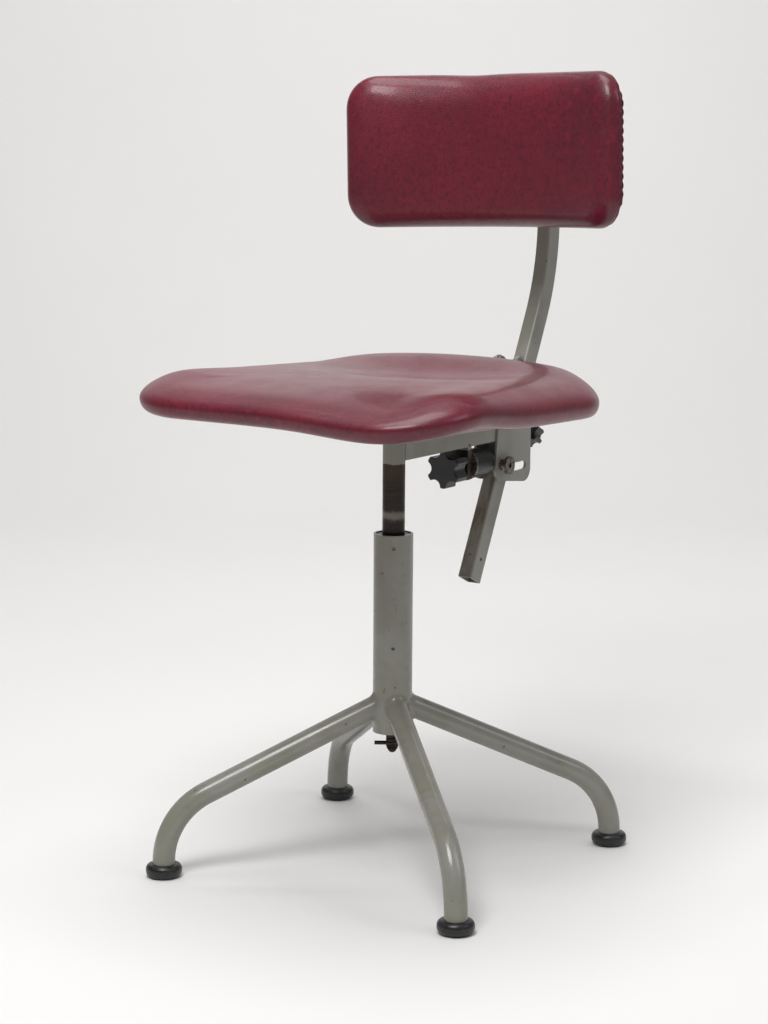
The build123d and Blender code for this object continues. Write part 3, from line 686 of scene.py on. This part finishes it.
@dataclass
class SeatPad:
    """The seat's vinyl pad over its board: broad front roll, lifted sides, raised rear, shallow dish."""

    front_half: float = 209.5
    rear_half: float = 197.0
    front_y: float = -244.0
    rear_y: float = 169.0
    rear_bow: float = 22.0
    bow_span: tuple[float, float] = (0.0, 150.0)
    front_corner: float = 88.0
    rear_corner: float = 92.0
    least_corner: float = 8.0
    middle_y: float = -37.5
    foot_z: float = 511.0
    fall: float = math.tan(math.radians(1.8))
    side_lift: float = 8.5
    side_lift_y: float = -150.0
    side_lift_reach: float = 65.0
    side_lift_span: tuple[float, float] = (120.0, 190.0)
    nose_drop: float = 6.7
    nose_place: tuple[float, float] = (122.0, -225.0)
    nose_reach: float = 74.0
    thickness: float = 43.3
    front_thickness: float = 38.0
    rear_thickness: float = 41.7
    front_span: tuple[float, float] = (40.0, 200.0)
    rear_span: tuple[float, float] = (20.0, 140.0)
    rear_crown: float = 11.8
    crown_half: float = 190.0
    crown_span: tuple[float, float] = (60.0, 150.0)
    dish_depth: float = 9.0
    dish_y: float = 35.0
    dish_half: tuple[float, float] = (165.0, 120.0)
    waist: float = 0.36
    foot_in: float = 10.0
    front_roll: float = 120.0
    side_roll: float = 75.0
    rear_roll: float = 44.0
    board_in: float = 45.0
    board_top: float = 12.3
    under_in: float = 24.0
    hem_in: float = 62.0
    hem_thickness: float = 1.3
    tack_pitch: float = 24.0
    tack_radius: float = 3.2
    tack_height: float = 1.4
    pressure: float = 1.5
    swell: float = 2.0
    corner_steps: int = 15
    side_steps: int = 24

    def outline(self, inset: float) -> np.ndarray:
        """The pad's plan, drawn in all round.

        Args:
            inset: How far.

        Returns:
            Points of the closed line.
        """
        front, rear = self.front_half - inset, self.rear_half - inset
        low, high = self.front_y + inset, self.rear_y - inset
        front_r = max(self.front_corner - inset, self.least_corner)
        rear_r = max(self.rear_corner - inset, self.least_corner)
        corners = [(front, low, front_r), (rear, high, rear_r), (-rear, high, rear_r), (-front, low, front_r)]
        line = rounded_outline(corners, self.corner_steps, (self.side_steps,) * 4)
        bow = (1 - np.clip((line[:, 0] / self.rear_half) ** 2, 0, 1)) * smooth(line[:, 1], *self.bow_span)
        line[:, 1] += self.rear_bow * bow
        return line

    @property
    def fold(self) -> int:
        """What the numbers of two points add up to that lie across the pad from each other."""
        return 4 * self.corner_steps + 3 * self.side_steps - 1

    def board(self, ring: np.ndarray) -> np.ndarray:
        """Height of the board's sloping underside."""
        return self.foot_z - self.fall * (ring[:, 1] - self.middle_y)

    def foot(self, ring: np.ndarray) -> np.ndarray:
        """Height of the pad's lower edge: lifted at the sides, hanging a little at one front corner.

        Args:
            ring: Plan points.

        Returns:
            Heights.
        """
        x, y = ring[:, 0], ring[:, 1]
        lift = self.side_lift * np.exp(-((y - self.side_lift_y) / self.side_lift_reach) ** 2)
        lift = lift * smooth(np.abs(x), *self.side_lift_span)
        away = np.hypot(x - self.nose_place[0], y - self.nose_place[1])
        return self.board(ring) + lift - self.nose_drop * np.exp(-((away / self.nose_reach) ** 2))

    def depth(self, ring: np.ndarray) -> np.ndarray:
        """Thickness of the pad, with its raised rear and its dish.

        Args:
            ring: Plan points.

        Returns:
            Thicknesses.
        """
        x, y = ring[:, 0], ring[:, 1]
        thick = self.thickness + (self.front_thickness - self.thickness) * smooth(-y, *self.front_span)
        thick = thick + (self.rear_thickness - self.thickness) * smooth(y, *self.rear_span)
        crown = self.rear_crown * (1 - np.clip((x / self.crown_half) ** 2, 0, 1))
        thick = thick + crown * smooth(y, *self.crown_span)
        reach = np.hypot(x / self.dish_half[0], (y - self.dish_y) / self.dish_half[1])
        return thick - self.dish_depth * (1 - smooth(reach, 0.15, 1.0))

    def roll(self) -> np.ndarray:
        """Width of the edge roll round the plan: broad in front, narrower behind."""
        way = self.outline(0.0) - np.array([0.0, self.middle_y])
        back = way[:, 1] / np.linalg.norm(way, axis=1)
        wide = self.side_roll + (self.front_roll - self.side_roll) * smooth(-back, 0.45, 0.95)
        return wide + (self.rear_roll - self.side_roll) * smooth(back, 0.45, 0.95)

    def at_height(self, inset: float, share: Any) -> np.ndarray:
        """A ring of the pad's skin.

        Args:
            inset: How far it is drawn in.
            share: Its share of the pad's thickness.

        Returns:
            Points in space.
        """
        ring = self.outline(inset)
        return np.column_stack([ring, self.foot(ring) + share * self.depth(ring)])

    def over_board(self, inset: float, lift: float) -> np.ndarray:
        """A ring that follows the board.

        Args:
            inset: How far it is drawn in.
            lift: Its height over the board's underside.

        Returns:
            Points in space.
        """
        ring = self.outline(inset)
        return np.column_stack([ring, self.board(ring) + lift])

    def under(self, inset: float, drop: float, wave: Any = 0.0) -> np.ndarray:
        """A ring of the pad's underside, which runs from the pad's lower edge to the board.

        Args:
            inset: How far it is drawn in.
            drop: Its depth under that face.
            wave: How far each point is drawn in further.

        Returns:
            Points in space.
        """
        ring = self.outline(inset)
        ring = ring + (self.outline(inset + 1.0) - ring) * np.reshape(wave, (-1, 1))
        share = float(smooth(inset, self.under_in, self.board_in - 3))
        return np.column_stack([ring, self.foot(ring) * (1 - share) + self.board(ring) * share - drop])

    def rings(self) -> tuple[list[np.ndarray], list[float]]:
        """All rings from the board's pocket round the edge to the top's middle.

        Returns:
            The rings, and how firmly each is held.
        """
        rings = [self.over_board(inset, self.board_top) for inset in (178.0, 130.0, 85.0, self.board_in)]
        rings += [self.over_board(self.board_in - 0.5, lift) for lift in (self.board_top - 0.5, 1.0)]
        rings += [self.under(inset, 0.0) for inset in (self.board_in - 2, 36.0, 28.0, 20.0, 14.0)]
        held = [1.0] * len(rings)
        for angle in (-90.0, -62.0, -36.0, -14.0):
            inset = self.foot_in * (1 - math.cos(math.radians(angle)))
            rings.append(self.at_height(inset, self.waist * (1 + math.sin(math.radians(angle)))))
            held.append(1.0 if angle < -60 else 0.5)
        wide = self.roll()
        for inset in (0, 0.8, 3, 7, 12, 18.5, 26, 34.5, 44, 54.5, 66, 79, 93, 108, 125, 143, 161, 178, 190):
            lean = np.clip(inset / wide, 0, 1)
            rings.append(self.at_height(inset, self.waist + (1 - self.waist) * np.sqrt(1 - (1 - lean) ** 2)))
            held.append(0.35 if inset < 20 else 0.0)
        return rings, held

    def build(self, shop: Paintshop) -> list[Piece]:
        """Builds the pad, its hem and the tacks.

        Args:
            shop: Where the materials come from.

        Returns:
            The pieces.
        """
        rings, held = self.rings()
        points, faces = skin(rings, self.fold, self.fold)
        pad = add_piece("seat_cover", points, faces, "seat", Slot.oxblood_vinyl, shop)
        fill_out(pad, np.repeat(held, len(rings[0])), self.pressure, self.swell)
        pad.modifiers.new("cover", "SUBSURF").levels = 1
        pad.modifiers["cover"].render_levels = 1
        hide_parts("seat_pad")
        return [pad, self.hem(shop), self.tacks(shop)]

    def hem(self, shop: Paintshop) -> Piece:
        """The cover's edge, folded under the board with a wavy cut."""
        count = len(self.outline(0.0))
        turn = np.arange(count) * 2 * math.pi / count
        wave = 0.8 * np.sin(34 * turn) + np.sin(9 * turn + 1.1)
        deep = self.hem_thickness
        edge = self.under(self.board_in - 16, -0.4)
        rings = [edge]
        # each ring: inset, depth under the board, share of the wavy cut
        for inset, drop, cut in (
            (self.board_in - 14, 0.6, 0.0), (self.board_in - 8, deep, 0.0), (self.board_in + 4, deep, 0.0),
            (self.hem_in - 6, deep, 0.4), (self.hem_in, deep, 1.0), (self.hem_in, 0.1, 1.0),
            (self.board_in + 1, 0.1, 0.0), (self.board_in - 8, -0.4, 0.0),
        ):
            rings.append(self.under(inset, drop, wave * cut))
        points, faces = skin(rings + [edge])
        return add_piece("seat_hem", points, [f[::-1] for f in faces], "seat", Slot.oxblood_vinyl, shop)

    def tacks(self, shop: Paintshop) -> Piece:
        """Tack heads along the hem."""
        line = self.over_board(self.hem_in - 9, -self.hem_thickness)
        places = spaced(line, self.tack_pitch)
        ways = np.tile(np.array([0.0, 0.0, -1.0]), (len(places), 1))
        return add_tacks("seat_tacks", places, ways, "seat", shop, self.tack_radius, self.tack_height)


@dataclass
class BackPad:
    """The back's vinyl pad, bent round the sitter, with a scalloped tacked edge behind."""

    half_width: float = 192.0
    shift: float = -2.8
    bottom_z: float = 702.8
    top_z: float = 878.0
    end_taper: float = 1.5
    lean_right: float = math.radians(1.2)
    corner: float = 38.0
    least_corner: float = 5.0
    rear_radius: float = 337.6
    curve_y: float = -109.0
    thickness: float = 37.0
    end_thickness: float = 21.0
    crown: float = 5.0
    edge_roll: float = 18.0
    top_roll: float = 36.0
    wall: float = 8.0
    scallop_pitch: float = 10.0
    scallop: float = 1.7
    scallop_span: tuple[float, float] = (150.0, 186.0)
    tack_radius: float = 2.6
    tack_height: float = 1.2
    hem_in: float = 34.0
    board_in: float = 15.0
    board_back: float = 10.3
    dip: float = 1.5
    dip_place: float = -35.0
    dip_reach: float = 30.0
    dip_span: tuple[float, float] = (830.0, 874.0)
    pressure: float = 1.5
    swell: float = 1.5
    corner_steps: int = 11
    end_steps: int = 20
    hem_steps: int = 64
    long_steps: int = 44

    @property
    def middle_z(self) -> float:
        """Height of the pad's middle."""
        return (self.bottom_z + self.top_z) / 2

    @property
    def fold(self) -> int:
        """What the numbers of two points add up to that lie over each other."""
        return 2 * self.corner_steps + self.end_steps - 1

    def outline(self, inset: float) -> np.ndarray:
        """The pad laid flat, drawn in all round.

        Args:
            inset: How far.

        Returns:
            Points along the curve and up.
        """
        half, low, high = self.half_width - inset, self.bottom_z + inset, self.top_z - inset
        radius = max(self.corner - inset, self.least_corner)
        taper = self.end_taper * (1 - inset / self.half_width)
        corners = [(half, low + taper, radius), (half, high, radius)]
        corners += [(-half, high, radius), (-half, low - taper, radius)]
        return rounded_outline(corners, self.corner_steps, (self.end_steps, self.long_steps) * 2)

    def bent(self, flat: np.ndarray, forward: Any) -> np.ndarray:
        """Bends flat points round the back's curve and leans them as the back stands.

        Args:
            flat: Places along the curve and up.
            forward: How far each is in front of the pad's rear face.

        Returns:
            Points in space.
        """
        turn = (flat[:, 0] + self.shift) / self.rear_radius
        radius = self.rear_radius - forward
        dent = self.dip * np.exp(-((flat[:, 0] - self.dip_place) / self.dip_reach) ** 2)
        up = flat[:, 1] - dent * smooth(flat[:, 1], *self.dip_span) - self.middle_z
        x, y = radius * np.sin(turn), self.curve_y + radius * np.cos(turn)
        c, s = math.cos(self.lean_right), math.sin(self.lean_right)
        return np.stack([x * c - up * s, y, self.middle_z + x * s + up * c], 1)

    def depth(self, flat: np.ndarray) -> np.ndarray:
        """Thickness of the pad: crowned, thinner at its ends."""
        along = np.abs(flat[:, 0]) / self.half_width
        up = (flat[:, 1] - self.middle_z) / ((self.top_z - self.bottom_z) / 2)
        ends = self.thickness - (self.thickness - self.end_thickness) * along ** 2.4
        return ends - self.crown * np.abs(up) ** 2.2

    def roll(self) -> np.ndarray:
        """Width of the edge roll round the pad: broad along the top."""
        flat = self.outline(0.0)
        up = (flat[:, 1] - self.middle_z) / ((self.top_z - self.bottom_z) / 2)
        along = np.abs(flat[:, 0]) / self.half_width
        extra = (self.top_roll - self.edge_roll) * smooth(up, 0.2, 1.0)
        return self.edge_roll + extra * smooth(1 - along, 0.0, 0.4)

    def scalloped(self, flat: np.ndarray) -> np.ndarray:
        """Outward waves of the cover between its tacks, fullest at the pad's ends."""
        steps = np.linalg.norm(np.diff(flat, axis=0), axis=1)
        along = np.concatenate([[0], np.cumsum(steps)])
        waves = np.abs(np.sin(math.pi * along / self.scallop_pitch)) * self.scallop
        return waves * smooth(np.abs(flat[:, 0]), *self.scallop_span)

    def build(self, shop: Paintshop) -> list[Piece]:
        """Builds the pad, its hem and the tacks.

        Args:
            shop: Where the materials come from.

        Returns:
            The pieces.
        """
        rings, held = [], []
        for inset, forward in (
            (82.0, 3.0), (60.0, 3.0), (self.board_in, 3.0), (5.0, 0.0),
            (1.6, 0.2), (0.3, 1.8), (0.0, 4.6), (0.3, self.wall),
        ):
            rings.append(self.bent(self.outline(inset), forward))
            held.append(1.0 if forward < 1 or inset > 5 else 0.6)
        wide = self.roll()
        for inset in (1.2, 2.8, 5.2, 8.4, 12.2, 17.0, 24.0, 33.0, 43.0, 54.0, 65.0, 75.0, 82.0):
            flat = self.outline(inset)
            lean = np.clip(inset / wide, 0, 1)
            forward = self.wall + (self.depth(flat) - self.wall) * np.sqrt(1 - (1 - lean) ** 2)
            rings.append(self.bent(flat, forward))
            held.append(0.3 if inset < 9 else 0.0)
        points, faces = skin(rings, self.fold, self.fold)
        pad = add_piece("back_cover", points, faces, "back", Slot.oxblood_vinyl, shop)
        fill_out(pad, np.repeat(held, len(rings[0])), self.pressure, self.swell)
        pad.modifiers.new("cover", "SUBSURF").levels = 1
        pad.modifiers["cover"].render_levels = 1
        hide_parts("back_pad")
        return [pad, self.hem(shop), self.tacks(shop)]

    def hem(self, shop: Paintshop) -> Piece:
        """The cover's edge, drawn round the board's rear and scalloped between its tacks."""
        rings = []
        rear = -self.board_back
        fine = replace(self, end_steps=self.hem_steps)
        # each ring: inset, place in front of the pad's rear face, share of the scallops drawn inwards
        for inset, forward, wave in (
            (2.6, 3.0, 0.0), (1.8, 1.0, -0.8), (2.2, -1.4, -0.8), (6.0, -3.2, -0.6),
            (self.board_in - 1.5, -4.0, -0.8), (self.board_in + 0.5, rear - 0.8, -1.7),
            (self.hem_in - 3, rear - 1.0, 0.4), (self.hem_in, rear - 0.9, 1.0),
            (self.hem_in, rear - 0.1, 1.0), (self.board_in - 0.5, rear, 0.0),
            (self.board_in - 0.5, -2.0, 0.0), (4.0, 1.5, 0.0),
        ):
            flat = fine.outline(inset)
            flat = flat + (fine.outline(inset + 1.0) - flat) * (self.scalloped(flat) * wave)[:, None]
            rings.append(self.bent(flat, forward))
        points, faces = skin(rings + rings[:1])
        return add_piece("back_hem", points, [f[::-1] for f in faces], "back", Slot.oxblood_vinyl, shop)

    def tacks(self, shop: Paintshop) -> Piece:
        """Tack heads round the hem behind the board."""
        flat = spaced(self.outline(self.hem_in - 6), 2 * self.scallop_pitch)
        places = self.bent(flat, -self.board_back - 1.0)
        turn = (flat[:, 0] + self.shift) / self.rear_radius
        ways = np.stack([np.sin(turn), np.cos(turn), 0 * turn], 1)
        return add_tacks("back_tacks", places, ways, "back", shop, self.tack_radius, self.tack_height)


@dataclass
class Stand:
    """Column, legs and feet: the filled and painted welds round the leg roots."""

    column_radius: float = 22.0
    leg_radius: float = 12.5
    root_z: float = 178.0
    slope: float = math.radians(24.4)
    first_turn: float = math.radians(-41.6)
    legs: int = 4
    weld: float = 6.5
    sunk: float = 0.15
    root_depth: float = 1.5
    weld_steps: int = 72

    def root_line(self, turn: float, steps: int) -> np.ndarray:
        """Where a leg's skin meets the column.

        Args:
            turn: The leg's direction.
            steps: Points round the leg.

        Returns:
            The closed line's points.
        """
        angle = np.linspace(0, 2 * math.pi, steps, endpoint=False)
        side = self.leg_radius * np.cos(angle)
        lift = self.leg_radius * np.sin(angle)
        out = np.sqrt(self.column_radius ** 2 - side ** 2)
        high = self.root_z + math.tan(self.slope) * (self.column_radius - out) + lift / math.cos(self.slope)
        x = out * math.cos(turn) - side * math.sin(turn)
        y = out * math.sin(turn) + side * math.cos(turn)
        return np.stack([x, y, high], 1)

    def weld_rings(self, turn: float) -> list[np.ndarray]:
        """Rings of one weld, hollow from the column's skin to the leg's, closed inside the two.

        Args:
            turn: The leg's direction.

        Returns:
            The rings.
        """
        line = self.root_line(turn, self.weld_steps)
        level = math.cos(self.slope)
        leg = np.array([math.cos(turn) * level, math.sin(turn) * level, -math.sin(self.slope)])
        way = np.roll(line, -1, axis=0) - np.roll(line, 1, axis=0)
        face = line * np.array([1.0, 1.0, 0.0]) / self.column_radius
        away = np.cross(way, face)
        away /= np.linalg.norm(away, axis=1, keepdims=True)
        away *= np.sign(((line - line.mean(0)) * away).sum(1, keepdims=True))
        on_column = line + self.weld * away
        reach = np.linalg.norm(on_column[:, :2], axis=1, keepdims=True)
        on_column[:, :2] *= (self.column_radius - self.sunk) / reach
        inward = (line - line.mean(0)) - ((line - line.mean(0)) @ leg)[:, None] * leg
        inward /= np.linalg.norm(inward, axis=1, keepdims=True)
        on_leg = line + self.weld * leg - self.sunk * inward
        rings = [
            (1 - t) ** 2 * on_column + 2 * t * (1 - t) * line + t ** 2 * on_leg for t in np.linspace(0, 1, 7)
        ]
        rings.append(line - self.root_depth * inward - self.root_depth * face)
        return rings

    def build(self, shop: Paintshop) -> list[Piece]:
        """Builds the weld of each leg.

        Args:
            shop: Where the materials come from.

        Returns:
            The pieces.
        """
        pieces = []
        for k in range(self.legs):
            rings = self.weld_rings(self.first_turn + k * 2 * math.pi / self.legs)
            points, faces = skin(rings + rings[:1])
            pieces.append(add_piece(f"leg_weld_{k + 1}", points, faces, "base", Slot.grey_enamel, shop))
        return pieces


@dataclass
class CadDress:
    """Gives each solid that stays in view its finish."""

    rubbed: tuple[str, ...] = ("back_bar",)

    def dress(self, shop: Paintshop) -> int:
        """Assigns a material to every solid.

        Args:
            shop: Where the materials come from.

        Returns:
            How many solids were dressed.
        """
        slots = {s["node"]: s["material_slot"] for s in frame["record"]["subparts"]}
        for name, solid in frame["nodes"].items():
            finish = RubbedEnamel() if name in self.rubbed else Slot[slots[name]].value
            solid.data.materials.clear()
            solid.data.materials.append(shop.get(finish))
        return len(slots)


@dataclass
class Studio:
    """Pale floor and backdrop, soft lamps and the camera at the photograph's angle."""

    turn: float = math.radians(33.5)
    pitch: float = math.radians(9.5)
    yaw: float = -0.0039
    roll: float = 0.0058
    distance: float = 2.7405
    height: float = 0.857
    focal_px: float = 2514.0
    frame_px: float = 1024.0
    sensor_mm: float = 36.0
    floor_tone: str = "#f1f0ee"
    floor_worn: str = "#ebeae8"
    floor_half: float = 9.0
    sweep_start: float = 2.2
    sweep_radius: float = 1.2
    sweep_steps: int = 12
    paper_top: float = 4.0
    sky: float = 0.21

    def at(self, right: float, away: float, up: float) -> Vector:
        """A place given as the camera sees it.

        Args:
            right: Metres to the right of the column.
            away: Metres behind it.
            up: Metres above the floor.

        Returns:
            The place in the chair's frame.
        """
        c, s = math.cos(self.turn), math.sin(self.turn)
        return Vector((right * c - away * s, right * s + away * c, up))

    def add_camera(self) -> None:
        """Sets the camera where the photograph was taken."""
        cp, sp, cy, sy = math.cos(self.pitch), math.sin(self.pitch), math.cos(self.yaw), math.sin(self.yaw)
        ahead = self.at(sy * cp, cy * cp, -sp)
        right = self.at(cy, -sy, 0.0)
        up = right.cross(ahead)
        cr, sr = math.cos(self.roll), math.sin(self.roll)
        right, up = right * cr + up * sr, up * cr - right * sr
        data = bpy.data.cameras.new("camera")
        data.sensor_width = self.sensor_mm
        data.lens = self.focal_px / self.frame_px * self.sensor_mm
        camera = bpy.data.objects.new("camera", data)
        bpy.context.scene.collection.objects.link(camera)
        basis = Matrix((right, up, -ahead)).transposed().to_4x4()
        camera.matrix_world = Matrix.Translation(self.at(0.0, -self.distance, self.height)) @ basis
        bpy.context.scene.camera = camera

    def add_lamp(
        self, name: str, place: Vector, aim: Vector, size: tuple[float, float], watts: float, tint: str
    ) -> None:
        """Hangs one soft lamp.

        Args:
            name: Lamp name.
            place: Where it hangs.
            aim: Where it points.
            size: Width and height.
            watts: Power.
            tint: Colour of its light.
        """
        data = bpy.data.lights.new(name, "AREA")
        data.shape = "RECTANGLE"
        data.size, data.size_y = size
        data.energy = watts
        data.color = linear(tint)[:3]
        lamp = bpy.data.objects.new(name, data)
        bpy.context.scene.collection.objects.link(lamp)
        lamp.location = place
        lamp.rotation_euler = (aim - place).to_track_quat("-Z", "Y").to_euler()

    def add_floor(self) -> None:
        """Lays the floor and sweeps it up into the backdrop, which can be looked through from behind."""
        line = [(-self.floor_half, 0.0), (self.sweep_start, 0.0)]
        for k in range(1, self.sweep_steps + 1):
            angle = math.pi / 2 * k / self.sweep_steps
            away = self.sweep_start + self.sweep_radius * math.sin(angle)
            line.append((away, self.sweep_radius * (1 - math.cos(angle))))
        line.append((self.sweep_start + self.sweep_radius, self.paper_top))
        points = [self.at(side * self.floor_half, away, up) for away, up in line for side in (-1, 1)]
        faces = [[2 * k, 2 * k + 1, 2 * k + 3, 2 * k + 2] for k in range(len(line) - 1)]
        mesh = bpy.data.meshes.new("floor")
        mesh.from_pydata(points, [], faces)
        mesh.polygons.foreach_set("use_smooth", [True] * len(mesh.polygons))
        floor = bpy.data.objects.new("floor", mesh)
        bpy.context.scene.collection.objects.link(floor)
        # matt paper: pale, faintly uneven, and clear when seen from behind
        paper = Coating("studio_paper")
        seen_from = add_node(paper.tree, "ShaderNodeNewGeometry")
        front_only = paper.maths("SUBTRACT", 1.0, seen_from.outputs["Backfacing"])
        worn = paper.step(paper.noise(900.0), 0.35, 0.65, 0.0, 0.3)
        tone = paper.blend(worn, self.floor_tone, self.floor_worn)
        mesh.materials.append(paper.finish(Base_Color=tone, Roughness=0.75, Alpha=front_only))

    def add_sky(self) -> None:
        """Even, low room light."""
        world = bpy.data.worlds.new("room")
        world.use_nodes = True
        tree = world.node_tree
        tree.nodes.clear()
        room = {"Color": linear("#fbfbff"), "Strength": self.sky}
        light = add_node(tree, "ShaderNodeBackground", inputs=room)
        add_node(tree, "ShaderNodeOutputWorld", inputs={"Surface": light.outputs[0]})
        bpy.context.scene.world = world

    def build(self) -> None:
        """Sets up the whole studio."""
        bpy.context.scene.view_settings.view_transform = "Standard"
        self.add_camera()
        self.add_floor()
        self.add_sky()
        middle = Vector((0.0, 0.0, 0.5))
        self.add_lamp("ceiling", self.at(-0.5, -1.4, 2.5), middle, (1.2, 1.1), 46.0, "#ffffff")
        self.add_lamp("top", self.at(-0.1, 0.1, 2.6), middle, (1.4, 1.2), 24.0, "#ffffff")
        self.add_lamp("right", self.at(2.0, -0.6, 1.9), middle, (1.0, 1.2), 8.0, "#f6f8ff")
        self.add_lamp("wall", self.at(0.0, 1.7, 2.7), self.at(0.0, 3.4, 0.9), (3.4, 0.4), 30.0, "#ffffff")


def main() -> None:
    """Builds the chair's dressed pieces in order and reports them."""
    logging.basicConfig(level=logging.INFO, format="%(message)s")
    shop = Paintshop()
    LOG.info("solids dressed: %d", CadDress().dress(shop))
    for part in (Stand(), SeatPad(), BackPad()):
        for piece in part.build(shop):
            LOG.info("%s: %d faces", piece.name, len(piece.data.polygons))
    Studio().build()


if __name__ == "__main__":
    main()
